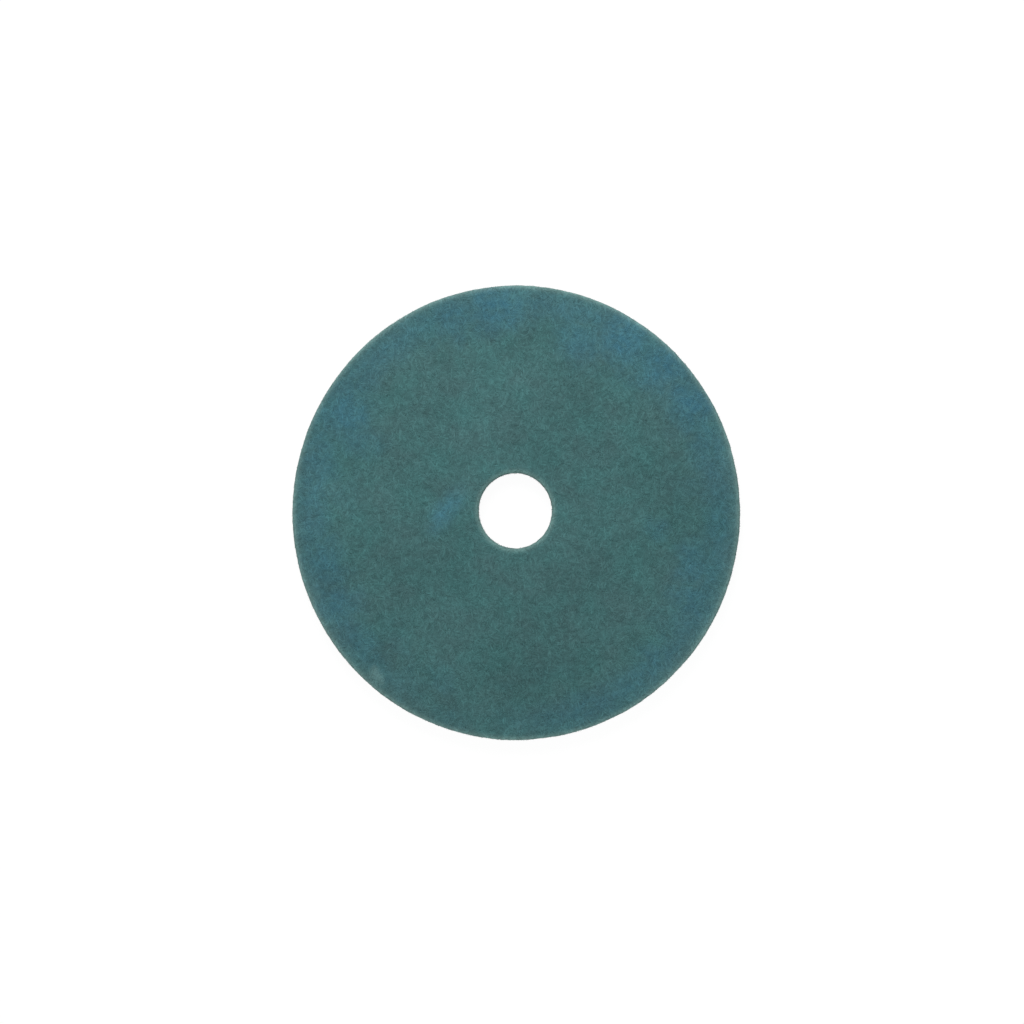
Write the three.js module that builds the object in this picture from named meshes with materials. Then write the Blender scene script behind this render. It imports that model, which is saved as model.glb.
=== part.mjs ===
// A floor polishing pad for a rotary burnishing machine: one thick disc of lofty nonwoven web, crimped
// polyester fibres bonded by a blue-green resin, with a punched hole that centres it on the pad driver.
// Both faces are working faces, so the pad can be turned over. It lies flat, with +Z up and its origin on
// its underside, below the middle of the rim. All lengths are in millimetres.
import * as THREE from 'three';

// The steel-rule die is 508 mm (20 in) across. The web springs back after the cut, less across the roll
// it came from (X) than along it (Y), so the rim and the hole are both slightly oval.
const rimAcross = 504;
const rimAlong = 512;
const holeAcross = 83;
const holeAlong = 85.5;

// The hole is punched in a second stroke, a little off the middle of the rim.
const holeShiftX = -1;
const holeShiftY = 2.2;

const padThickness = 25;

// Pinched by the die, the web rolls over into a soft round along every cut edge.
const cutEdgeRadius = 3;

// How finely the ovals and the rolled edges are faceted.
const rimFacets = 160;
const holeFacets = 80;
const edgeFacets = 3;

// The points of an oval about (x, y), in order round it.
function oval(x, y, across, along, facets) {
  return new THREE.EllipseCurve(x, y, across / 2, along / 2).getPoints(facets);
}

// The outline that the die and the punch cut from the web.
function cutOutline() {
  const outline = new THREE.Shape(oval(0, 0, rimAcross, rimAlong, rimFacets));
  const hole = oval(holeShiftX, holeShiftY, holeAcross, holeAlong, holeFacets);
  outline.holes.push(new THREE.Path(hole));
  return outline;
}

// The outline at its full thickness, with its edges rolled over inside the cut size.
function webDisc() {
  const geometry = new THREE.ExtrudeGeometry(cutOutline(), {
    depth: padThickness - 2 * cutEdgeRadius,
    bevelEnabled: true,
    bevelThickness: cutEdgeRadius,
    bevelSize: cutEdgeRadius,
    bevelOffset: -cutEdgeRadius,
    bevelSegments: edgeFacets,
  });
  geometry.translate(0, 0, cutEdgeRadius);
  return geometry;
}

const bondedWeb = new THREE.MeshStandardMaterial({
  color: 0x43686a,
  roughness: 0.92,
  metalness: 0,
});

const pad = new THREE.Mesh(webDisc(), bondedWeb);
pad.name = 'pad';

const floorPolishingPad = new THREE.Group();
floorPolishingPad.add(pad);

export default floorPolishingPad;
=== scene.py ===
import math

import bpy
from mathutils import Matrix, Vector


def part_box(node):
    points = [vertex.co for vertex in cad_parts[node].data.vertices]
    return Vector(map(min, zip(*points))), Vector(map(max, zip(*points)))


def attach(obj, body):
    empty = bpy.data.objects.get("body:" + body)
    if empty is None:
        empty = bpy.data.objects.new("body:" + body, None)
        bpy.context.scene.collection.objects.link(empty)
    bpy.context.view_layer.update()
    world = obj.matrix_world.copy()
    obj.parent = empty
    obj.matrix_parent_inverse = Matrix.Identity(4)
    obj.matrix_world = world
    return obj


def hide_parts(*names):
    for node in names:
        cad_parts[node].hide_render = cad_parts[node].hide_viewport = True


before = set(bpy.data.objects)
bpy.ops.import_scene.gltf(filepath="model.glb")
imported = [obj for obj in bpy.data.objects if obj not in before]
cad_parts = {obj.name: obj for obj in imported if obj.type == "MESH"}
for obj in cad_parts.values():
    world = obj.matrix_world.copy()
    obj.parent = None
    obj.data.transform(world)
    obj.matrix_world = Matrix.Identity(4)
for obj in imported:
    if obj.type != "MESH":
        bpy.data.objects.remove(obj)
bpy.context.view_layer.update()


# The camera looks straight down from a copy stand, square to the pad and far enough off that the rim hides
# the pad's own side. The pad lies a few millimetres to the right of the middle of the picture.
picture_width = 1.1544
camera_drop = 2.4
widest_level = 0.022
right_of_middle = 0.0048
below_middle = 0.0009

stand_camera = bpy.data.cameras.new("stand_camera")
stand_camera.sensor_width = 36
stand_camera.lens = 36 * camera_drop / picture_width
camera = bpy.data.objects.new("stand_camera", stand_camera)
camera.location = (-right_of_middle, below_middle, widest_level + camera_drop)
bpy.context.scene.collection.objects.link(camera)
bpy.context.scene.camera = camera
bpy.context.scene.view_settings.view_transform = "Standard"


# The room is a white tent. Its walls light the pad evenly. A big softbox beyond the top of the picture
# lights the far side a little more than the near side, and a low one opposite fills in the near wall.
tent_glow = 0.42
softboxes = [
    ("far_softbox", 0.8, 18.5, (-0.16, 1.0, 1.2)),
    ("near_softbox", 1.0, 11.5, (0.0, -1.9, 0.5))]


def add_node(tree, kind, inputs=None, **settings):
    """A node of that kind, with its settings made and its inputs joined to sockets or set to values."""
    node = tree.nodes.new(kind)
    for name, setting in settings.items():
        setattr(node, name, setting)
    for name, value in (inputs or {}).items():
        if isinstance(value, bpy.types.NodeSocket):
            tree.links.new(value, node.inputs[name])
        else:
            node.inputs[name].default_value = value
    return node


def reckon(tree, operation, *terms, clamp=False):
    """The result of one sum on plain numbers."""
    node = add_node(tree, "ShaderNodeMath", dict(enumerate(terms)), operation=operation)
    node.use_clamp = clamp
    return node.outputs[0]


def seen_directly(tree):
    """1 for what the camera sees, itself or mirrored in something glossy or clear, and 0 for lighting."""
    path = add_node(tree, "ShaderNodeLightPath").outputs
    mirrored = reckon(tree, "MAXIMUM", path["Is Glossy Ray"], path["Is Transmission Ray"])
    return reckon(tree, "MAXIMUM", path["Is Camera Ray"], mirrored)


tent = bpy.data.worlds.new("white_tent")
tent.use_nodes = True
walls = tent.node_tree
walls.nodes.clear()
lighting = add_node(walls, "ShaderNodeBackground", {"Color": (1, 1, 1, 1), "Strength": tent_glow})
backdrop = add_node(walls, "ShaderNodeBackground", {"Color": (1, 1, 1, 1), "Strength": 1.0})
tent_sees = add_node(walls, "ShaderNodeMixShader", {
    0: seen_directly(walls), 1: lighting.outputs[0], 2: backdrop.outputs[0]})
add_node(walls, "ShaderNodeOutputWorld", {"Surface": tent_sees.outputs[0]})
bpy.context.scene.world = tent

for name, size, watts, place in softboxes:
    lamp = bpy.data.lights.new(name, "AREA")
    lamp.shape = "SQUARE"
    lamp.size = size
    lamp.energy = watts
    softbox = bpy.data.objects.new(name, lamp)
    softbox.location = place
    softbox.rotation_euler = Vector(place).to_track_quat("Z", "Y").to_euler()
    bpy.context.scene.collection.objects.link(softbox)


# The floor is a sheet of white card. It shows as plain white with only the pad's faint shadow on it, and
# it throws light back up on to the pad's side.
card_half = 4.0
card_white = (0.8, 0.8, 0.8, 1)
card_lit_share = 0.07
card_own_white = 0.955

card_mesh = bpy.data.meshes.new("card")
card_corners = [(-card_half, -card_half, 0), (card_half, -card_half, 0),
                (card_half, card_half, 0), (-card_half, card_half, 0)]
card_mesh.from_pydata(card_corners, [], [(0, 1, 2, 3)])
card = bpy.data.objects.new("card", card_mesh)
bpy.context.scene.collection.objects.link(card)

card_look = bpy.data.materials.new("white_card")
card_look.use_nodes = True
paper = card_look.node_tree
paper.nodes.clear()
lit_paper = add_node(paper, "ShaderNodeBsdfDiffuse", {"Color": card_white})
shadow_keeper = add_node(paper, "ShaderNodeBsdfDiffuse", {
    "Color": (card_lit_share, card_lit_share, card_lit_share, 1)})
own_white = add_node(paper, "ShaderNodeEmission", {"Color": (1, 1, 1, 1), "Strength": card_own_white})
shown_paper = add_node(paper, "ShaderNodeAddShader", {0: shadow_keeper.outputs[0], 1: own_white.outputs[0]})
paper_sees = add_node(paper, "ShaderNodeMixShader", {
    0: seen_directly(paper), 1: lit_paper.outputs[0], 2: shown_paper.outputs[0]})
add_node(paper, "ShaderNodeOutputMaterial", {"Surface": paper_sees.outputs[0]})
card_mesh.materials.append(card_look)


# The web is the body of the pad: crimped polyester staple, carded, cross-lapped and sprayed with a
# blue-green resin, then baked into one springy slab. A steel-rule die cuts the rim, a punch cuts the hole,
# and the slab springs back slightly oval, rolled over along both cuts.
pad_low, pad_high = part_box("pad")
rim_across = pad_high[0] - pad_low[0]
rim_along = pad_high[1] - pad_low[1]
pad_thickness = pad_high[2] - pad_low[2]
hole_across = 0.083
hole_along = 0.0855
hole_shift = (-0.001, 0.0022, 0)
mean_rim_radius = (rim_across + rim_along) / 4
mean_hole_radius = (hole_across + hole_along) / 4
roll_radius = 0.003
roll_steps = 5
web_steps_round = 460
web_face_step = 0.0026
web_wall_step = 0.0015
fibre_room = 0.0004
loft_wave = 0.0008
loft_run = 0.07
tuft_height = 0.0007
tuft_run = 0.009
lap_groove = 0.0006
lap_run = 0.038
lap_rise = 0.0028
rim_proud_share = 0.55
pattern_scale = 1.06
lower_pattern_middle = (0.7071, 0.2929, 0)
upper_pattern_middle = (0.2929, 0.7071, 0)


def aim(tree, operation, *terms, part="Vector"):
    """The result of one sum on vectors."""
    node = tree.nodes.new("ShaderNodeVectorMath")
    node.operation = operation
    for at, term in enumerate(terms):
        name = "Scale" if operation == "SCALE" and at == 1 else at
        if isinstance(term, bpy.types.NodeSocket):
            tree.links.new(term, node.inputs[name])
        else:
            node.inputs[name].default_value = term
    return node.outputs[part]


def group_inputs(tree, *wanted):
    """Gives a node group its named inputs, each (name, kind, value), and returns their sockets."""
    for name, kind, value in wanted:
        socket = tree.interface.new_socket(name, in_out="INPUT", socket_type="NodeSocket" + kind)
        if value is not None:
            socket.default_value = value
    return tree.nodes.new("NodeGroupInput").outputs


def group_outputs(tree, **made):
    """Gives a node group its outputs, each name=(kind, socket)."""
    for name, (kind, socket) in made.items():
        tree.interface.new_socket(name, in_out="OUTPUT", socket_type="NodeSocket" + kind)
    end = tree.nodes.new("NodeGroupOutput")
    for name, (kind, socket) in made.items():
        tree.links.new(socket, end.inputs[name])


def mesh_from(tree, name, start_mesh, settings):
    """The plain mesh object that a geometry tree makes of start_mesh with these input values."""
    carrier = bpy.data.objects.new(name + "_carrier", start_mesh)
    bpy.context.scene.collection.objects.link(carrier)
    modifier = carrier.modifiers.new("maker", "NODES")
    modifier.node_group = tree
    for socket in tree.interface.items_tree:
        if socket.item_type == "SOCKET" and socket.in_out == "INPUT" and socket.name in settings:
            modifier[socket.identifier] = settings[socket.name]
    evaluated = carrier.evaluated_get(bpy.context.evaluated_depsgraph_get())
    made = bpy.data.meshes.new_from_object(evaluated)
    bpy.data.objects.remove(carrier)
    made.name = name
    piece = bpy.data.objects.new(name, made)
    bpy.context.scene.collection.objects.link(piece)
    return piece


def captured(tree, geometry, kind, name, value, domain="POINT"):
    """Keeps a value on the geometry before it changes. Returns the geometry and the kept value."""
    keeper = tree.nodes.new("GeometryNodeCaptureAttribute")
    keeper.domain = domain
    keeper.capture_items.new(kind, name)
    tree.links.new(geometry, keeper.inputs["Geometry"])
    tree.links.new(value, keeper.inputs[name])
    return keeper.outputs["Geometry"], keeper.outputs[name]


def flat_part(tree, vector, height=0.0):
    """The vector with its Z put at a height."""
    parts = add_node(tree, "ShaderNodeSeparateXYZ", {0: vector}).outputs
    return add_node(tree, "ShaderNodeCombineXYZ", {"X": parts["X"], "Y": parts["Y"], "Z": height}).outputs[0]


def noise(tree, vector, size, detail=2.0, roughness=0.5, part="Fac"):
    """Noise whose lumps are about that size across."""
    return add_node(tree, "ShaderNodeTexNoise", {
        "Vector": vector, "Scale": 1 / size, "Detail": detail, "Roughness": roughness}).outputs[part]


cut_web = bpy.data.node_groups.new("die_cut_web", "GeometryNodeTree")
given = group_inputs(
    cut_web, ("Geometry", "Geometry", None), ("Rim Across", "Float", 0.504), ("Rim Along", "Float", 0.512),
    ("Hole Across", "Float", 0.083), ("Hole Along", "Float", 0.0855), ("Hole Shift", "Vector", (0, 0, 0)),
    ("Thickness", "Float", 0.025), ("Roll Radius", "Float", 0.003), ("Steps Round", "Int", 460),
    ("Face Step", "Float", 0.0026), ("Wall Step", "Float", 0.0015), ("Fibre Room", "Float", 0.0004),
    ("Loft Wave", "Float", 0.0008), ("Tuft Height", "Float", 0.0007), ("Lap Groove", "Float", 0.0006),
    ("Material", "Material", None))

# A plain ring first: the slab's rounded section, swept round a circle.
rim_diameters = reckon(cut_web, "ADD", given["Rim Across"], given["Rim Along"])
hole_diameters = reckon(cut_web, "ADD", given["Hole Across"], given["Hole Along"])
ring_outer = reckon(cut_web, "MULTIPLY", rim_diameters, 0.25)
ring_inner = reckon(cut_web, "MULTIPLY", hole_diameters, 0.25)
ring_width = reckon(cut_web, "SUBTRACT", ring_outer, ring_inner)
ring_middle = reckon(cut_web, "MULTIPLY", reckon(cut_web, "ADD", ring_outer, ring_inner), 0.5)
slab_section = add_node(cut_web, "GeometryNodeCurvePrimitiveQuadrilateral", {
    "Width": ring_width, "Height": given["Thickness"]}, mode="RECTANGLE")
rolled_section = add_node(cut_web, "GeometryNodeFilletCurve", mode="POLY")
rolled_section.inputs["Count"].default_value = roll_steps
cut_web.links.new(slab_section.outputs[0], rolled_section.inputs["Curve"])
cut_web.links.new(given["Roll Radius"], rolled_section.inputs["Radius"])
point_at = add_node(cut_web, "GeometryNodeInputIndex").outputs[0]
point_total = add_node(cut_web, "GeometryNodeSplineLength").outputs["Point Count"]
next_at = reckon(cut_web, "MODULO", reckon(cut_web, "ADD", point_at, 1.0), point_total)
here = add_node(cut_web, "GeometryNodeInputPosition").outputs[0]
next_point = add_node(cut_web, "GeometryNodeFieldAtIndex", data_type="FLOAT_VECTOR")
cut_web.links.new(here, next_point.inputs["Value"])
cut_web.links.new(next_at, next_point.inputs["Index"])
side = add_node(cut_web, "ShaderNodeSeparateXYZ", {0: aim(
    cut_web, "ABSOLUTE", aim(cut_web, "SUBTRACT", next_point.outputs[0], here))}).outputs
on_face = reckon(cut_web, "GREATER_THAN", side["X"], side["Y"])
step = add_node(cut_web, "ShaderNodeMix", {
    0: on_face, 2: given["Wall Step"], 3: given["Face Step"]}).outputs[0]
side_length = reckon(cut_web, "ADD", side["X"], side["Y"])
cuts = reckon(cut_web, "FLOOR", reckon(cut_web, "DIVIDE", side_length, step))
fine_section = add_node(cut_web, "GeometryNodeSubdivideCurve", {
    "Curve": rolled_section.outputs[0], "Cuts": cuts})
ring_path = add_node(cut_web, "GeometryNodeCurvePrimitiveCircle", {
    "Resolution": given["Steps Round"], "Radius": ring_middle}, mode="RADIUS")
level_path = add_node(cut_web, "GeometryNodeSetCurveNormal", {"Curve": ring_path.outputs[0]}, mode="Z_UP")
ring = add_node(cut_web, "GeometryNodeCurveToMesh", {
    "Curve": level_path.outputs[0], "Profile Curve": fine_section.outputs[0]})

# Then the ring is drawn out to the two ovals of the cuts and set down on the floor.
ring_flat = flat_part(cut_web, here)
outward = aim(cut_web, "NORMALIZE", ring_flat)
across_band = reckon(cut_web, "DIVIDE", reckon(
    cut_web, "SUBTRACT", aim(cut_web, "LENGTH", ring_flat, part="Value"), ring_inner), ring_width)
ring_mesh, band = captured(cut_web, ring.outputs[0], "FLOAT", "Band", across_band)
half_rim = add_node(cut_web, "ShaderNodeCombineXYZ", {
    "X": reckon(cut_web, "MULTIPLY", given["Rim Across"], 0.5),
    "Y": reckon(cut_web, "MULTIPLY", given["Rim Along"], 0.5)}).outputs[0]
half_hole = add_node(cut_web, "ShaderNodeCombineXYZ", {
    "X": reckon(cut_web, "MULTIPLY", given["Hole Across"], 0.5),
    "Y": reckon(cut_web, "MULTIPLY", given["Hole Along"], 0.5)}).outputs[0]
rim_point = aim(cut_web, "MULTIPLY", outward, half_rim)
hole_point = aim(cut_web, "ADD", aim(cut_web, "MULTIPLY", outward, half_hole), given["Hole Shift"])
drawn_out = aim(cut_web, "ADD", hole_point, aim(
    cut_web, "SCALE", aim(cut_web, "SUBTRACT", rim_point, hole_point), band))
height = add_node(cut_web, "ShaderNodeSeparateXYZ", {0: here}).outputs["Z"]
set_down = reckon(cut_web, "ADD", height, reckon(cut_web, "MULTIPLY", given["Thickness"], 0.5))
cut_disc = add_node(cut_web, "GeometryNodeSetPosition", {
    "Geometry": ring_mesh, "Position": flat_part(cut_web, drawn_out, set_down)})

# The slab's skin: a slow wave from the lofting, small tufts, and the laps of web that show in the cuts.
skin_normal = add_node(cut_web, "GeometryNodeInputNormal").outputs["Normal"]
uprightness = reckon(cut_web, "ABSOLUTE", add_node(
    cut_web, "ShaderNodeSeparateXYZ", {0: skin_normal}).outputs["Z"])
wall_share = reckon(cut_web, "SUBTRACT", 1.0, uprightness, clamp=True)
wave = reckon(cut_web, "MULTIPLY", reckon(cut_web, "SUBTRACT", noise(cut_web, here, loft_run), 0.5),
              given["Loft Wave"])
tufts = reckon(cut_web, "MULTIPLY", reckon(cut_web, "SUBTRACT", noise(cut_web, here, tuft_run), 0.5),
               given["Tuft Height"])
lap_grain = aim(cut_web, "MULTIPLY", here, (1 / lap_run, 1 / lap_run, 1 / lap_rise))
lap_noise = add_node(cut_web, "ShaderNodeMapRange", {
    "Value": noise(cut_web, lap_grain, 1.0), "From Min": 0.62, "From Max": 0.38})
laps = reckon(cut_web, "MULTIPLY", reckon(cut_web, "MULTIPLY", lap_noise.outputs[0], wall_share),
              given["Lap Groove"])
deepest_lap = reckon(cut_web, "MULTIPLY", wall_share, given["Lap Groove"])
wall_proud = reckon(cut_web, "MULTIPLY", deepest_lap, reckon(cut_web, "MULTIPLY", band, rim_proud_share))
face_share = reckon(cut_web, "SUBTRACT", 1.0, wall_share)
raised = reckon(cut_web, "MULTIPLY_ADD", reckon(cut_web, "ADD", wave, tufts), face_share, wall_proud)
sunk = reckon(cut_web, "MULTIPLY_ADD", given["Fibre Room"], face_share, laps)
skin = add_node(cut_web, "GeometryNodeSetPosition", {
    "Geometry": cut_disc.outputs[0],
    "Offset": aim(cut_web, "SCALE", skin_normal, reckon(cut_web, "SUBTRACT", raised, sunk))})

# The pattern pieces for its paint: each face is one round piece, with the near half of both walls on it.
face_middle = add_node(cut_web, "GeometryNodeFieldOnDomain", {0: height}, domain="FACE").outputs[0]
is_top = reckon(cut_web, "GREATER_THAN", face_middle, reckon(cut_web, "MULTIPLY", given["Thickness"], 0.5))
depth_from_top = reckon(cut_web, "SUBTRACT", given["Thickness"], height)
depth = add_node(cut_web, "ShaderNodeMix", {0: is_top, 2: height, 3: depth_from_top}).outputs[0]
is_rim = reckon(cut_web, "GREATER_THAN", band, 0.5)
towards_hole = aim(cut_web, "NORMALIZE", aim(cut_web, "SUBTRACT", given["Hole Shift"], ring_flat))
spread_way = add_node(cut_web, "ShaderNodeMix", {
    0: is_rim, 4: towards_hole, 5: outward}, data_type="VECTOR").outputs[1]
unrolled = aim(cut_web, "ADD", ring_flat, aim(cut_web, "SCALE", spread_way, depth))
pattern_middle = add_node(cut_web, "ShaderNodeMix", {
    0: is_top, 4: lower_pattern_middle, 5: upper_pattern_middle}, data_type="VECTOR").outputs[1]
pattern = aim(cut_web, "ADD", aim(cut_web, "SCALE", unrolled, pattern_scale), pattern_middle)
painted = add_node(cut_web, "GeometryNodeStoreNamedAttribute", {
    "Geometry": skin.outputs[0], "Name": "OFBake", "Value": pattern}, data_type="FLOAT2", domain="CORNER")
web_whole = add_node(cut_web, "GeometryNodeRealizeInstances", {"Geometry": painted.outputs[0]})
web_smooth = add_node(cut_web, "GeometryNodeSetShadeSmooth", {"Geometry": web_whole.outputs[0]})
web_coated = add_node(cut_web, "GeometryNodeSetMaterial", {
    "Geometry": web_smooth.outputs[0], "Material": given["Material"]})
group_outputs(cut_web, Geometry=("Geometry", web_coated.outputs[0]))


def shade(red, green, blue):
    """A colour from a paint chart, 0 to 255, as the light it sends back."""
    def light(level):
        level /= 255
        return level / 12.92 if level <= 0.04045 else ((level + 0.055) / 1.055) ** 2.4
    return light(red), light(green), light(blue), 1


# Where the dye stands bluest on the upper face: the hour on a clock face, how far in from the rim, how far
# across, and how strong. The lower face takes its own spots from noise.
blue_spots = [
    (11.8, 0.020, 0.070, 0.80), (0.7, 0.050, 0.060, 0.55), (1.05, 0.024, 0.075, 0.80),
    (1.5, 0.020, 0.070, 0.85), (1.95, 0.016, 0.060, 0.90), (2.35, 0.020, 0.050, 0.50),
    (3.5, 0.046, 0.050, 0.50), (3.9, 0.030, 0.060, 0.55), (4.6, 0.028, 0.045, 0.50),
    (5.25, 0.018, 0.050, 0.45), (8.1, 0.026, 0.055, 0.60), (8.5, 0.028, 0.060, 0.60),
    (9.5, 0.024, 0.050, 0.50), (10.0, 0.028, 0.075, 0.70), (9.85, 0.058, 0.050, 0.40),
    (11.4, 0.018, 0.055, 0.60), (3.2, 0.098, 0.028, 0.35)]

# How near the rim and the hole are, and a share that is high close to the cuts and lower halfway down the
# walls. It paints the cuts paler: painted light, the glow of light through the loose web at the cut edges.
from_cuts = bpy.data.node_groups.new("nearness_of_cuts", "ShaderNodeTree")
given = group_inputs(
    from_cuts, ("Vector", "Vector", (0, 0, 0)), ("Half Rim", "Vector", (rim_across / 2, rim_along / 2, 1)),
    ("Half Hole", "Vector", (hole_across / 2, hole_along / 2, 1)), ("Hole Shift", "Vector", hole_shift),
    ("Bare Reach", "Float", 0.0075))
flat_spot = flat_part(from_cuts, given["Vector"])
rim_part = aim(from_cuts, "LENGTH", aim(from_cuts, "DIVIDE", flat_spot, given["Half Rim"]), part="Value")
hole_part = aim(from_cuts, "LENGTH", aim(from_cuts, "DIVIDE", aim(
    from_cuts, "SUBTRACT", flat_spot, given["Hole Shift"]), given["Half Hole"]), part="Value")
to_rim = reckon(from_cuts, "MULTIPLY", reckon(from_cuts, "SUBTRACT", 1.0, rim_part), mean_rim_radius)
to_hole = reckon(from_cuts, "MULTIPLY", reckon(from_cuts, "SUBTRACT", hole_part, 1.0), mean_hole_radius)
nearest = reckon(from_cuts, "MINIMUM", to_rim, to_hole)
near_share = reckon(from_cuts, "SUBTRACT", 1.0, reckon(
    from_cuts, "DIVIDE", nearest, given["Bare Reach"]), clamp=True)
cut_level = add_node(from_cuts, "ShaderNodeSeparateXYZ", {0: given["Vector"]}).outputs["Z"]
from_face = reckon(from_cuts, "MINIMUM", cut_level, reckon(from_cuts, "SUBTRACT", pad_thickness, cut_level))
in_wall = add_node(from_cuts, "ShaderNodeMapRange", {
    "Value": from_face, "From Min": 0.0015, "From Max": 0.006}, interpolation_type="SMOOTHSTEP").outputs[0]
edge_glow = reckon(from_cuts, "MULTIPLY", reckon(from_cuts, "MULTIPLY", near_share, near_share), reckon(
    from_cuts, "SUBTRACT", 1.0, reckon(from_cuts, "MULTIPLY", in_wall, 0.4)))
group_outputs(from_cuts, Rim=("Float", to_rim), Hole=("Float", to_hole), Bare=("Float", edge_glow))

streak_middle = (-0.079, 0.0026, 0)
streak_half_length = 0.044
streak_half_width = 0.023
streak_turned = math.radians(-54)
band_gap_hour = 6.55
scuffed_hour = 7.38
veil_places = [(3.6, 0.24), (7.9, 0.15)]

dye = bpy.data.node_groups.new("dye_mottle", "ShaderNodeTree")
given = group_inputs(
    dye, ("Vector", "Vector", (0, 0, 0)), ("From Rim", "Float", 0.1), ("From Hole", "Float", 0.1))
wander = aim(dye, "SCALE", aim(dye, "SUBTRACT", noise(dye, given["Vector"], 0.030, 3.0, part="Color"),
                               (0.5, 0.5, 0.5)), 0.045)
wandered = flat_part(dye, aim(dye, "ADD", given["Vector"], wander))
level = add_node(dye, "ShaderNodeSeparateXYZ", {0: given["Vector"]}).outputs["Z"]
upper_face = reckon(dye, "GREATER_THAN", level, pad_thickness / 2)


def clock_point(hour, inward):
    """The point of the face at that hour of a clock face, that far in from the rim."""
    turn = math.radians(hour * 30)
    reach = mean_rim_radius - inward
    return reach * math.sin(turn), reach * math.cos(turn), 0


spots = None
for hour, inward, across, strength in blue_spots:
    away = aim(dye, "DISTANCE", wandered, clock_point(hour, inward), part="Value")
    spot = add_node(dye, "ShaderNodeMapRange", {
        "Value": away, "From Min": across * 0.75, "From Max": 0.0, "To Max": strength},
        interpolation_type="SMOOTHSTEP").outputs[0]
    spots = spot if spots is None else reckon(dye, "MAXIMUM", spots, spot)

# A short blue streak lies across the face on the left of the hole.
streak_turn = add_node(dye, "ShaderNodeVectorRotate", {
    "Vector": aim(dye, "ADD", given["Vector"], aim(dye, "SCALE", wander, 0.5)), "Center": streak_middle,
    "Angle": streak_turned}, rotation_type="Z_AXIS")
streak_run = aim(dye, "MULTIPLY", aim(dye, "SUBTRACT", streak_turn.outputs[0], streak_middle),
                 (1 / streak_half_length, 1 / streak_half_width, 0))
streak = add_node(dye, "ShaderNodeMapRange", {
    "Value": aim(dye, "LENGTH", streak_run, part="Value"), "From Min": 1.0, "From Max": 0.0},
    interpolation_type="SMOOTHSTEP").outputs[0]

# All round, the dye is bluer in a band inside the rim, less so at the very edge and hardly at half past
# six. Loose blue spots come from noise, strong on the lower face and faint on the upper one.
band_wander = reckon(dye, "MULTIPLY_ADD", noise(dye, given["Vector"], 0.05, 3.0), 0.05, -0.025)
band_place = reckon(dye, "ADD", given["From Rim"], band_wander)
band_rise = add_node(dye, "ShaderNodeMapRange", {
    "Value": given["From Rim"], "From Min": 0.0, "From Max": 0.016, "To Min": 0.35}).outputs[0]
band_fall = add_node(dye, "ShaderNodeMapRange", {
    "Value": band_place, "From Min": 0.052, "From Max": 0.020}, interpolation_type="SMOOTHSTEP").outputs[0]
gap_away = aim(dye, "DISTANCE", given["Vector"], clock_point(band_gap_hour, 0.020), part="Value")
outside_gap = add_node(dye, "ShaderNodeMapRange", {
    "Value": gap_away, "From Min": 0.040, "From Max": 0.140, "To Min": 0.12}).outputs[0]
rim_band = reckon(dye, "MULTIPLY", reckon(dye, "MULTIPLY", band_rise, band_fall), outside_gap)
stretched = aim(dye, "MULTIPLY", given["Vector"], (1, 1, 6))
loose_spots = add_node(dye, "ShaderNodeMapRange", {
    "Value": noise(dye, stretched, 0.05, 3.0), "From Min": 0.50, "From Max": 0.66}).outputs[0]
near_rim = add_node(dye, "ShaderNodeMapRange", {
    "Value": given["From Rim"], "From Min": 0.095, "From Max": 0.030},
    interpolation_type="SMOOTHSTEP").outputs[0]
loose = reckon(dye, "MULTIPLY", loose_spots, near_rim)
loose_share = reckon(dye, "SUBTRACT", 0.8, reckon(dye, "MULTIPLY", upper_face, 0.6))
placed = reckon(dye, "MULTIPLY", reckon(dye, "MAXIMUM", spots, reckon(
    dye, "MULTIPLY", streak, 0.65)), upper_face)
blue = reckon(dye, "MAXIMUM", reckon(dye, "MAXIMUM", placed, reckon(dye, "MULTIPLY", rim_band, 0.40)),
              reckon(dye, "MULTIPLY", loose, loose_share))
grain = reckon(dye, "MULTIPLY_ADD", noise(dye, given["Vector"], 0.008, 3.0), 1.6, 0.2)
blue_share = reckon(dye, "MULTIPLY", blue, grain, clamp=True)

# Away from the blue it drifts between a greener and a greyer teal, and the coat is thicker here than there.
greenness = add_node(dye, "ShaderNodeMapRange", {
    "Value": noise(dye, stretched, 0.040, 4.0, 0.62), "From Min": 0.34, "From Max": 0.66}).outputs[0]
slow_cloud = noise(dye, aim(dye, "ADD", stretched, (3.1, 0.7, 0.4)), 0.110, 2.0)
quick_cloud = noise(dye, stretched, 0.020, 3.0)
thin_by_hole = add_node(dye, "ShaderNodeMapRange", {
    "Value": given["From Hole"], "From Min": 0.034, "From Max": 0.006, "To Max": 0.085}).outputs[0]
level_cloud = reckon(dye, "ADD", thin_by_hole, reckon(dye, "MULTIPLY_ADD", streak, 0.20, 0.635))
cloud = reckon(dye, "MULTIPLY_ADD", slow_cloud, 0.36, reckon(
    dye, "MULTIPLY_ADD", quick_cloud, 0.32, level_cloud))

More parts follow.
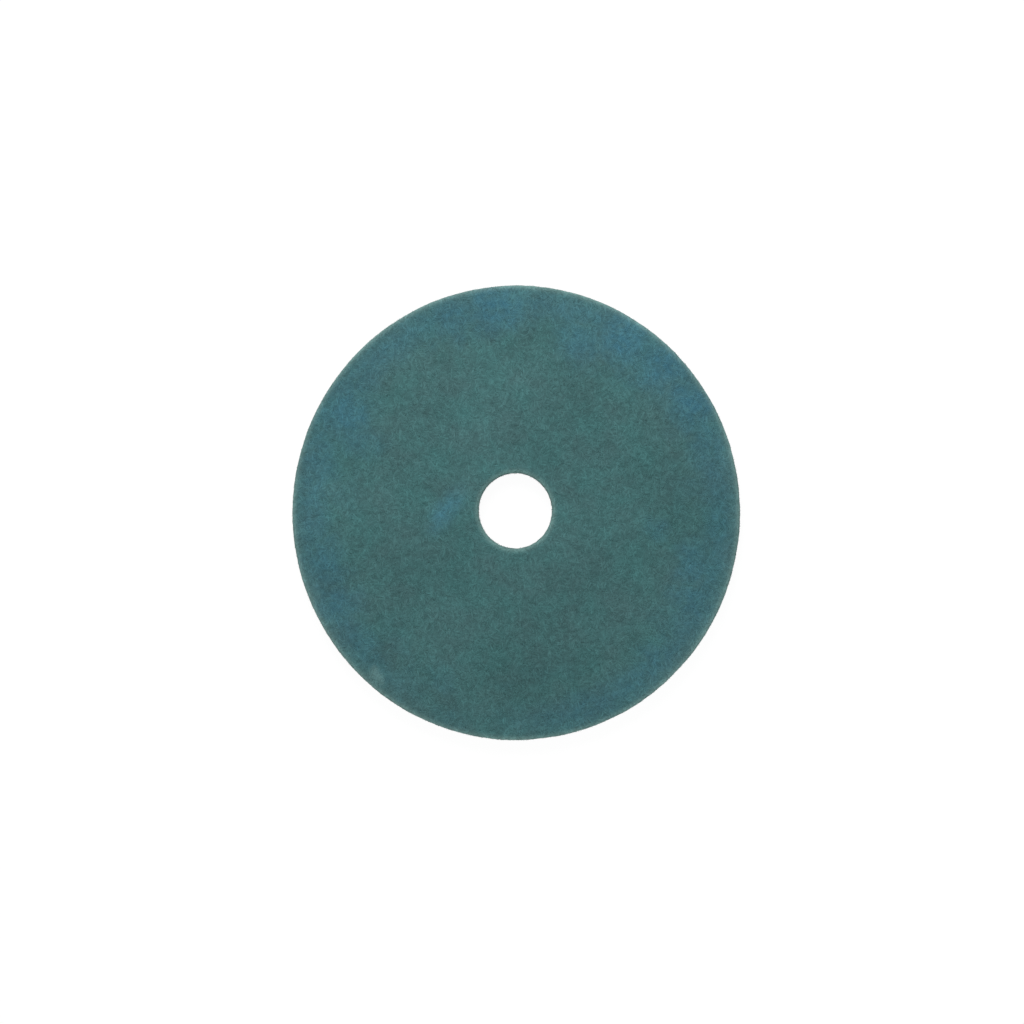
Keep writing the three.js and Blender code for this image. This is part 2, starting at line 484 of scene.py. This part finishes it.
# The coat has worn thin at one scuffed spot, and a pale veil of bare fibre follows the rim on two sides.
scuffed = add_node(dye, "ShaderNodeMapRange", {
    "Value": aim(dye, "DISTANCE", wandered, clock_point(scuffed_hour, 0.010), part="Value"),
    "From Min": 0.016, "From Max": 0.003}, interpolation_type="SMOOTHSTEP").outputs[0]
veil_sides = []
for hour, reach in veil_places:
    away = aim(dye, "DISTANCE", given["Vector"], clock_point(hour, 0), part="Value")
    veil_sides.append(add_node(dye, "ShaderNodeMapRange", {
        "Value": away, "From Min": reach, "From Max": reach * 0.3, "To Min": 0.25},
        interpolation_type="SMOOTHSTEP").outputs[0])
veil_depth = add_node(dye, "ShaderNodeMapRange", {
    "Value": given["From Rim"], "From Min": 0.019, "From Max": 0.004, "To Max": 0.095}).outputs[0]
veil = reckon(dye, "MULTIPLY", veil_depth, reckon(dye, "MAXIMUM", *veil_sides))
washed = reckon(dye, "MAXIMUM", veil, reckon(
    dye, "MULTIPLY", reckon(dye, "MULTIPLY", upper_face, scuffed), 0.22))
group_outputs(dye, Blue=("Float", blue_share), Green=("Float", greenness), Cloud=("Float", cloud),
              Washed=("Float", washed))

# The deep fibres, below the ones that are modelled singly: rounded strands laid in five directions, each
# strand with a tone of its own, and the topmost one showing.
tangle = bpy.data.node_groups.new("fibre_tangle", "ShaderNodeTree")
given = group_inputs(tangle, ("Vector", "Vector", (0, 0, 0)), ("Strand Width", "Float", 0.0015),
                     ("Strand Run", "Float", 0.0090), ("Crimp", "Float", 0.0035))
crimped = aim(tangle, "ADD", given["Vector"], aim(tangle, "MULTIPLY", aim(
    tangle, "SUBTRACT", noise(tangle, given["Vector"], 0.009, 1.0, part="Color"), (0.5, 0.5, 0.5)),
    aim(tangle, "SCALE", (1, 1, 0.3), given["Crimp"])))
narrow = reckon(tangle, "DIVIDE", 1.0, given["Strand Width"])
long = reckon(tangle, "DIVIDE", 1.0, given["Strand Run"])
strand_grain = add_node(tangle, "ShaderNodeCombineXYZ", {"X": long, "Y": narrow, "Z": narrow}).outputs[0]
strand_top = None
for lay, degrees in enumerate((8, 44, 79, 117, 152)):
    turned = add_node(tangle, "ShaderNodeVectorRotate", {
        "Vector": crimped, "Angle": math.radians(degrees)}, rotation_type="Z_AXIS").outputs[0]
    own_start = (7.3 * lay, 3.1 * lay, 1.7 * lay)
    run = aim(tangle, "ADD", aim(tangle, "MULTIPLY", turned, strand_grain), own_start)
    strand = add_node(tangle, "ShaderNodeTexVoronoi", {
        "Vector": run, "Scale": 1.0}, feature="F1", voronoi_dimensions="3D").outputs
    lot = add_node(tangle, "ShaderNodeSeparateColor", {0: strand["Color"]}).outputs
    roundness = add_node(tangle, "ShaderNodeMapRange", {
        "Value": strand["Distance"], "From Min": 0.62, "From Max": 0.12}).outputs[0]
    laid_here = reckon(tangle, "GREATER_THAN", lot["Red"], 0.5)
    top = reckon(tangle, "MULTIPLY", reckon(tangle, "MULTIPLY", roundness, laid_here), reckon(
        tangle, "MULTIPLY_ADD", lot["Blue"], 0.5, 0.5))
    if strand_top is None:
        strand_top = top
        strand_tone = lot["Green"]
    else:
        above = reckon(tangle, "GREATER_THAN", top, strand_top)
        strand_tone = add_node(tangle, "ShaderNodeMix", {
            0: above, 2: strand_tone, 3: lot["Green"]}).outputs[0]
        strand_top = reckon(tangle, "MAXIMUM", top, strand_top)
group_outputs(tangle, Height=("Float", strand_top), Tone=("Float", strand_tone))


def blend_colours(tree, share, first, second):
    """Two colours mixed in a share from 0, all the first, to 1."""
    return add_node(tree, "ShaderNodeMix", {0: share, 6: first, 7: second}, data_type="RGBA").outputs[2]


def use_group(tree, group, **joined):
    """One of the shared effects, placed in a material. Input names are written with _ for a space."""
    node = tree.nodes.new("ShaderNodeGroup")
    node.node_tree = group
    for name, socket in joined.items():
        tree.links.new(socket, node.inputs[name.replace("_", " ")])
    return node.outputs


teal_grey = shade(76.5, 114, 115)
teal_green = shade(71.5, 117, 117)
teal_blue = shade(68, 119, 135)
# The pale fibre colour below serves the worn places and the painted light at the cuts, the glow of light
# through the loose cut edges. The share after it is how strong that painted glow is.
bare_fibre_and_edge_glow = shade(150, 184, 177)
edge_glow_at_cuts = 0.52


def dyed_colour(tree, dyed, edges):
    """The coat's colour before the fibres' own tones: the dye, paler where it is worn bare, and paler near
    the cuts with painted light, the glow of light through the loose cut edges.
    """
    ground = blend_colours(tree, dyed["Green"], teal_grey, teal_green)
    coloured = blend_colours(tree, dyed["Blue"], ground, teal_blue)
    # Paler towards the cuts by painted light, and paler where the coat is worn.
    wear_and_edge_glow_share = reckon(tree, "ADD", reckon(tree, "MULTIPLY", edges["Bare"], edge_glow_at_cuts), dyed["Washed"],
                        clamp=True)
    return aim(tree, "SCALE", blend_colours(tree, wear_and_edge_glow_share, coloured, bare_fibre_and_edge_glow), dyed["Cloud"])


web_look = bpy.data.materials.new("bonded_web")
web_look.use_nodes = True
resin = web_look.node_tree
resin.nodes.clear()
spot_at = add_node(resin, "ShaderNodeTexCoord").outputs["Object"]
edges = use_group(resin, from_cuts, Vector=spot_at)
dyed = use_group(resin, dye, Vector=spot_at, From_Rim=edges["Rim"], From_Hole=edges["Hole"])
deep_fibres = use_group(resin, tangle, Vector=spot_at)
# Darker in the gaps between the deep strands, where the web below lies in shade: painted shade. Each
# strand's own tone comes on top of that.
strand_tone_and_gap_shade = reckon(resin, "MULTIPLY_ADD", deep_fibres["Height"], 0.35, reckon(
    resin, "MULTIPLY_ADD", deep_fibres["Tone"], 0.28, 0.570))
web_colour = aim(resin, "SCALE", dyed_colour(resin, dyed, edges), strand_tone_and_gap_shade)
web_bump = add_node(resin, "ShaderNodeBump", {
    "Height": deep_fibres["Height"], "Distance": 0.0005, "Strength": 0.65})
web_surface = add_node(resin, "ShaderNodeBsdfPrincipled", {
    "Base Color": web_colour, "Roughness": 0.92, "Specular IOR Level": 0.15,
    "Normal": web_bump.outputs[0]})
add_node(resin, "ShaderNodeOutputMaterial", {"Surface": web_surface.outputs[0]})

web = mesh_from(cut_web, "web", bpy.data.meshes.new("web_blank"), {
    "Rim Across": rim_across, "Rim Along": rim_along, "Hole Across": hole_across, "Hole Along": hole_along,
    "Hole Shift": hole_shift, "Thickness": pad_thickness, "Roll Radius": roll_radius,
    "Steps Round": web_steps_round, "Face Step": web_face_step, "Wall Step": web_wall_step,
    "Fibre Room": fibre_room, "Loft Wave": loft_wave, "Tuft Height": tuft_height, "Lap Groove": lap_groove,
    "Material": web_look})
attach(web, "root")
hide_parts("pad")


# The fibres on the skin: single polyester staple fibres in their coat of resin, crimped, lying at every
# angle on both faces and more nearly level on the cuts. Their ends dip back into the web, and where one
# crossed the die's edge it is cut off. The upper face has two layers, the later one longer and thicker.
face_swing = math.radians(90)
wall_swing = math.radians(28)
fibre_points = 5
crimp_waves = 4.2
cut_slack = 0.0012
least_lift_share = 0.15
end_dip_share = 0.7
end_taper = 0.5
thinnest_share = 0.65
thickest_share = 1.25
paint_cell_share = 0.84
paint_cell_margin = 0.08


def draw(tree, low, high, each, seed, turn):
    """A number drawn at random from low to high for each fibre. Turn keeps the draws apart."""
    return add_node(tree, "FunctionNodeRandomValue", {
        2: low, 3: high, "ID": each, "Seed": reckon(tree, "ADD", seed, turn)}, data_type="FLOAT").outputs[1]


def facing_faces(tree, low, high):
    """1 on the faces whose normal's Z is between low and high."""
    rise = add_node(tree, "ShaderNodeSeparateXYZ", {
        0: add_node(tree, "GeometryNodeInputNormal").outputs["Normal"]}).outputs["Z"]
    return reckon(tree, "MULTIPLY", reckon(tree, "GREATER_THAN", rise, low),
                  reckon(tree, "LESS_THAN", rise, high))


def spun_tubes(tree, curves, thickness, run, each, cells, material):
    """Closed three-sided tubes along the curves, each with its own cell of the paint pattern."""
    kept_curves, kept_run = captured(tree, curves, "FLOAT", "Run", run)
    kept_curves, kept_each = captured(tree, kept_curves, "INT", "Each", each, domain="CURVE")
    round_section = add_node(tree, "GeometryNodeCurvePrimitiveCircle", {
        "Resolution": 3, "Radius": 0.5}, mode="RADIUS").outputs[0]
    girth = add_node(tree, "GeometryNodeSplineParameter").outputs["Factor"]
    kept_section, kept_girth = captured(tree, round_section, "FLOAT", "Girth", girth)
    tubes = add_node(tree, "GeometryNodeCurveToMesh", {
        "Curve": kept_curves, "Profile Curve": kept_section, "Scale": thickness, "Fill Caps": True})
    face_girth = add_node(tree, "GeometryNodeFieldOnDomain", {0: kept_girth}, domain="FACE").outputs[0]
    last_side = reckon(tree, "COMPARE", face_girth, 1 / 3, 0.08)
    closing = reckon(tree, "MULTIPLY", last_side, reckon(tree, "LESS_THAN", kept_girth, 0.1))
    row = reckon(tree, "FLOOR", reckon(tree, "DIVIDE", kept_each, cells))
    column = reckon(tree, "SUBTRACT", kept_each, reckon(tree, "MULTIPLY", row, cells))
    along = reckon(tree, "MULTIPLY_ADD", kept_run, paint_cell_share, paint_cell_margin)
    about = reckon(tree, "MULTIPLY_ADD", reckon(tree, "ADD", kept_girth, closing),
                   paint_cell_share, paint_cell_margin)
    cell = add_node(tree, "ShaderNodeCombineXYZ", {
        "X": reckon(tree, "ADD", column, along), "Y": reckon(tree, "ADD", row, about)}).outputs[0]
    pattern = aim(tree, "SCALE", cell, reckon(tree, "DIVIDE", 1.0, cells))
    painted = add_node(tree, "GeometryNodeStoreNamedAttribute", {
        "Geometry": tubes.outputs[0], "Name": "OFBake", "Value": pattern},
        data_type="FLOAT2", domain="CORNER")
    whole = add_node(tree, "GeometryNodeRealizeInstances", {"Geometry": painted.outputs[0]})
    smooth = add_node(tree, "GeometryNodeSetShadeSmooth", {"Geometry": whole.outputs[0]})
    return add_node(tree, "GeometryNodeSetMaterial", {
        "Geometry": smooth.outputs[0], "Material": material}).outputs[0]


laid = bpy.data.node_groups.new("laid_fibres", "GeometryNodeTree")
given = group_inputs(
    laid, ("Geometry", "Geometry", None), ("Facing From", "Float", 0.6), ("Facing To", "Float", 1.1),
    ("Density", "Float", 37200.0), ("Shortest", "Float", 0.008), ("Longest", "Float", 0.018),
    ("Swing", "Float", 1.57), ("Bend", "Float", 0.55), ("Crimp", "Float", 0.16),
    ("Thickness", "Float", 0.0003), ("Lift", "Float", 0.00005), ("Points", "Int", 5), ("Seed", "Int", 11),
    ("Cells Across", "Int", 90), ("Material", "Material", None))
roots = add_node(laid, "GeometryNodeDistributePointsOnFaces", {
    "Mesh": given["Geometry"], "Selection": facing_faces(laid, given["Facing From"], given["Facing To"]),
    "Density": given["Density"], "Seed": given["Seed"]}, distribute_method="RANDOM").outputs
rooted, root_normal = captured(laid, roots["Points"], "VECTOR", "Normal", roots["Normal"])
rooted, fibre = captured(laid, rooted, "INT", "Fibre", add_node(laid, "GeometryNodeInputIndex").outputs[0])
strung = add_node(laid, "GeometryNodeDuplicateElements", {
    "Geometry": rooted, "Amount": given["Points"]}, domain="POINT").outputs
strung_points, place = captured(laid, strung["Geometry"], "INT", "Place", strung["Duplicate Index"])
threads = add_node(laid, "GeometryNodePointsToCurves", {
    "Points": strung_points, "Curve Group ID": fibre, "Weight": place}).outputs[0]

# Each fibre's own line, bent and crimped, in the plane of the skin at its root.
last_place = reckon(laid, "SUBTRACT", given["Points"], 1.0)
run_share = reckon(laid, "DIVIDE", place, last_place)
reach = reckon(laid, "MULTIPLY_ADD", run_share, 2.0, -1.0)
reach_squared = reckon(laid, "MULTIPLY", reach, reach)
half_length = reckon(laid, "MULTIPLY", draw(
    laid, given["Shortest"], given["Longest"], fibre, given["Seed"], 1), 0.5)
bend = reckon(laid, "MULTIPLY", draw(laid, -1.0, 1.0, fibre, given["Seed"], 2), given["Bend"])
crimp = reckon(laid, "MULTIPLY", draw(laid, 0.2, 1.0, fibre, given["Seed"], 3), given["Crimp"])
crimp_start = draw(laid, 0.0, 6.28, fibre, given["Seed"], 4)
crimp_wave = reckon(laid, "SINE", reckon(laid, "MULTIPLY_ADD", reach, crimp_waves, crimp_start))
sideways = reckon(laid, "ADD", reckon(laid, "MULTIPLY", bend, reckon(laid, "SUBTRACT", reach_squared, 0.4)),
                  reckon(laid, "MULTIPLY", crimp, crimp_wave))
swing = reckon(laid, "MULTIPLY", draw(laid, -1.0, 1.0, fibre, given["Seed"], 5), given["Swing"])
level_way = aim(laid, "NORMALIZE", aim(laid, "ADD", aim(
    laid, "CROSS_PRODUCT", root_normal, (0, 0, 1)), (0.01, 0, 0)))
cross_way = aim(laid, "CROSS_PRODUCT", root_normal, level_way)
swing_cosine = reckon(laid, "COSINE", swing)
swing_sine = reckon(laid, "SINE", swing)
fibre_way = aim(laid, "ADD", aim(laid, "SCALE", level_way, swing_cosine), aim(
    laid, "SCALE", cross_way, swing_sine))
side_way = aim(laid, "CROSS_PRODUCT", root_normal, fibre_way)
line = aim(laid, "ADD", aim(laid, "SCALE", fibre_way, reckon(laid, "MULTIPLY", half_length, reach)), aim(
    laid, "SCALE", side_way, reckon(laid, "MULTIPLY", half_length, sideways)))
drawn = add_node(laid, "GeometryNodeSetPosition", {"Geometry": threads, "Offset": line})

# The die's cut, and then each fibre is pressed on to the skin with its ends dipping in.
fibre_here = add_node(laid, "GeometryNodeInputPosition").outputs[0]
skin_below = add_node(laid, "GeometryNodeProximity", {
    "Geometry": given["Geometry"], "Sample Position": fibre_here}, target_element="FACES").outputs
beyond_cut = reckon(laid, "GREATER_THAN", skin_below["Distance"], cut_slack)
trimmed = add_node(laid, "GeometryNodeDeleteGeometry", {
    "Geometry": drawn.outputs[0], "Selection": beyond_cut}, domain="POINT")
too_short = reckon(laid, "LESS_THAN", add_node(laid, "GeometryNodeSplineLength").outputs["Point Count"], 3.0)
sound = add_node(laid, "GeometryNodeDeleteGeometry", {
    "Geometry": trimmed.outputs[0], "Selection": too_short}, domain="CURVE")
skin_way = add_node(laid, "GeometryNodeSampleNearestSurface", data_type="FLOAT_VECTOR")
laid.links.new(given["Geometry"], skin_way.inputs["Mesh"])
laid.links.new(add_node(laid, "GeometryNodeInputNormal").outputs["Normal"], skin_way.inputs["Value"])
laid.links.new(fibre_here, skin_way.inputs["Sample Position"])
own_lift = reckon(laid, "MULTIPLY_ADD", draw(laid, 0.0, 1.0, fibre, given["Seed"], 6), given["Lift"],
                  reckon(laid, "MULTIPLY", given["Thickness"], least_lift_share))
arch = reckon(laid, "MULTIPLY", own_lift, reckon(laid, "SUBTRACT", 1.0, reach_squared))
deepest_dip = reckon(laid, "MULTIPLY", given["Thickness"], end_dip_share)
dip = reckon(laid, "MULTIPLY", reach_squared, deepest_dip)
stand = aim(laid, "SCALE", skin_way.outputs[0], reckon(laid, "SUBTRACT", arch, dip))
on_skin = aim(laid, "ADD", skin_below["Position"], stand)
off_floor = add_node(laid, "ShaderNodeCombineXYZ", {"X": -1.0, "Y": -1.0, "Z": deepest_dip}).outputs[0]
pressed = add_node(laid, "GeometryNodeSetPosition", {
    "Geometry": sound.outputs[0], "Position": aim(laid, "MAXIMUM", on_skin, off_floor)})
toned = add_node(laid, "GeometryNodeStoreNamedAttribute", {
    "Geometry": pressed.outputs[0], "Name": "tone",
    "Value": draw(laid, 0.0, 1.0, fibre, given["Seed"], 7)}, data_type="FLOAT", domain="POINT")
taper = reckon(laid, "SUBTRACT", 1.0, reckon(laid, "MULTIPLY", reckon(
    laid, "MULTIPLY", reach_squared, reach_squared), end_taper))
thickness = reckon(laid, "MULTIPLY", reckon(laid, "MULTIPLY", given["Thickness"], taper), draw(
    laid, thinnest_share, thickest_share, fibre, given["Seed"], 8))
laid_each = add_node(laid, "GeometryNodeInputIndex").outputs[0]
group_outputs(laid, Geometry=("Geometry", spun_tubes(
    laid, toned.outputs[0], thickness, run_share, laid_each, given["Cells Across"], given["Material"])))

fibre_look = bpy.data.materials.new("coated_fibre")
fibre_look.use_nodes = True
coat = fibre_look.node_tree
coat.nodes.clear()
fibre_at = add_node(coat, "ShaderNodeTexCoord").outputs["Object"]
fibre_edges = use_group(coat, from_cuts, Vector=fibre_at)
fibre_dyed = use_group(
    coat, dye, Vector=fibre_at, From_Rim=fibre_edges["Rim"], From_Hole=fibre_edges["Hole"])
tone = add_node(coat, "ShaderNodeAttribute", attribute_type="GEOMETRY", attribute_name="tone").outputs["Fac"]
coat_colour = aim(coat, "SCALE", dyed_colour(coat, fibre_dyed, fibre_edges), reckon(
    coat, "MULTIPLY_ADD", tone, 0.22, 0.89))
coat_surface = add_node(coat, "ShaderNodeBsdfPrincipled", {
    "Base Color": coat_colour, "Roughness": 0.75, "Specular IOR Level": 0.2})
add_node(coat, "ShaderNodeOutputMaterial", {"Surface": coat_surface.outputs[0]})

# Each layer: the normals of the faces it lies on, how many to a square metre, the shortest and longest
# fibre, their thickness, how far they stand off, how far they swing from level, and the seed.
fibre_layers = [
    ("driver_face_first_fibres", 0.6, 1.1, 37200.0, 0.008, 0.018, 0.00030, 0.00005, face_swing, 11),
    ("driver_face_last_fibres", 0.6, 1.1, 37200.0, 0.010, 0.022, 0.00034, 0.00020, face_swing, 29),
    ("floor_face_fibres", -1.1, -0.6, 37200.0, 0.010, 0.022, 0.00032, 0.00010, face_swing, 47),
    ("cut_wall_fibres", -0.7, 0.7, 115000.0, 0.007, 0.015, 0.00030, 0.00030, wall_swing, 61)]
for name, low, high, density, shortest, longest, thick, lift, layer_swing, seed in fibre_layers:
    layer = mesh_from(laid, name, web.data, {
        "Facing From": low, "Facing To": high, "Density": density, "Shortest": shortest,
        "Longest": longest, "Swing": layer_swing, "Thickness": thick, "Lift": lift,
        "Points": fibre_points, "Seed": seed, "Material": fibre_look})
    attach(layer, "root")


# The cut ends: where the die and the punch went through, fibres end in the wall and stand out of it a
# millimetre or so, leaning all ways. They give the cuts their nap.
rooted_share = 0.25
end_bow = 0.35
floor_clearance = 0.0002

ends = bpy.data.node_groups.new("cut_ends", "GeometryNodeTree")
given = group_inputs(
    ends, ("Geometry", "Geometry", None), ("Facing From", "Float", -0.85), ("Facing To", "Float", 0.85),
    ("Density", "Float", 90000.0), ("Shortest", "Float", 0.0008), ("Longest", "Float", 0.0020),
    ("Lean", "Float", 0.8), ("Thickness", "Float", 0.0002), ("Seed", "Int", 5), ("Cells Across", "Int", 90),
    ("Material", "Material", None))
end_roots = add_node(ends, "GeometryNodeDistributePointsOnFaces", {
    "Mesh": given["Geometry"], "Selection": facing_faces(ends, given["Facing From"], given["Facing To"]),
    "Density": given["Density"], "Seed": given["Seed"]}, distribute_method="RANDOM").outputs
end_at = add_node(ends, "GeometryNodeInputIndex").outputs[0]
end_toned = add_node(ends, "GeometryNodeStoreNamedAttribute", {
    "Geometry": end_roots["Points"], "Name": "tone",
    "Value": draw(ends, 0.3, 1.0, end_at, given["Seed"], 1)}, data_type="FLOAT", domain="POINT")
lean_ways = [reckon(ends, "MULTIPLY", draw(ends, -1.0, 1.0, end_at, given["Seed"], turn), given["Lean"])
             for turn in (2, 3, 4)]
lean = add_node(ends, "ShaderNodeCombineXYZ", dict(enumerate(lean_ways))).outputs[0]
end_turn = add_node(ends, "FunctionNodeAlignRotationToVector", {
    "Vector": aim(ends, "ADD", end_roots["Normal"], lean)}, axis="Z").outputs[0]
end_length = draw(ends, given["Shortest"], given["Longest"], end_at, given["Seed"], 5)
short_line = add_node(ends, "GeometryNodeCurvePrimitiveLine", {
    "Start": (0, 0, -rooted_share), "End": (0, 0, 1 - rooted_share)}, mode="POINTS").outputs[0]
bent_points = add_node(ends, "GeometryNodeResampleCurve", {"Curve": short_line, "Count": 3}, mode="COUNT")
end_run = add_node(ends, "GeometryNodeSplineParameter").outputs["Factor"]
bow = add_node(ends, "ShaderNodeCombineXYZ", {
    "X": reckon(ends, "MULTIPLY", reckon(ends, "MULTIPLY", end_run, end_run), end_bow)}).outputs[0]
bowed = add_node(ends, "GeometryNodeSetPosition", {"Geometry": bent_points.outputs[0], "Offset": bow})
planted = add_node(ends, "GeometryNodeInstanceOnPoints", {
    "Points": end_toned.outputs[0], "Instance": bowed.outputs[0], "Rotation": end_turn,
    "Scale": end_length})
loose_ends = add_node(ends, "GeometryNodeRealizeInstances", {"Geometry": planted.outputs[0]})
end_here = add_node(ends, "GeometryNodeInputPosition").outputs[0]
above_floor = aim(ends, "MAXIMUM", end_here, (-1, -1, floor_clearance))
standing = add_node(ends, "GeometryNodeSetPosition", {
    "Geometry": loose_ends.outputs[0], "Position": above_floor})
group_outputs(ends, Geometry=("Geometry", spun_tubes(
    ends, standing.outputs[0], given["Thickness"], end_run, end_at, given["Cells Across"],
    given["Material"])))

cut_ends = mesh_from(ends, "cut_ends", web.data, {"Material": fibre_look})
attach(cut_ends, "root")
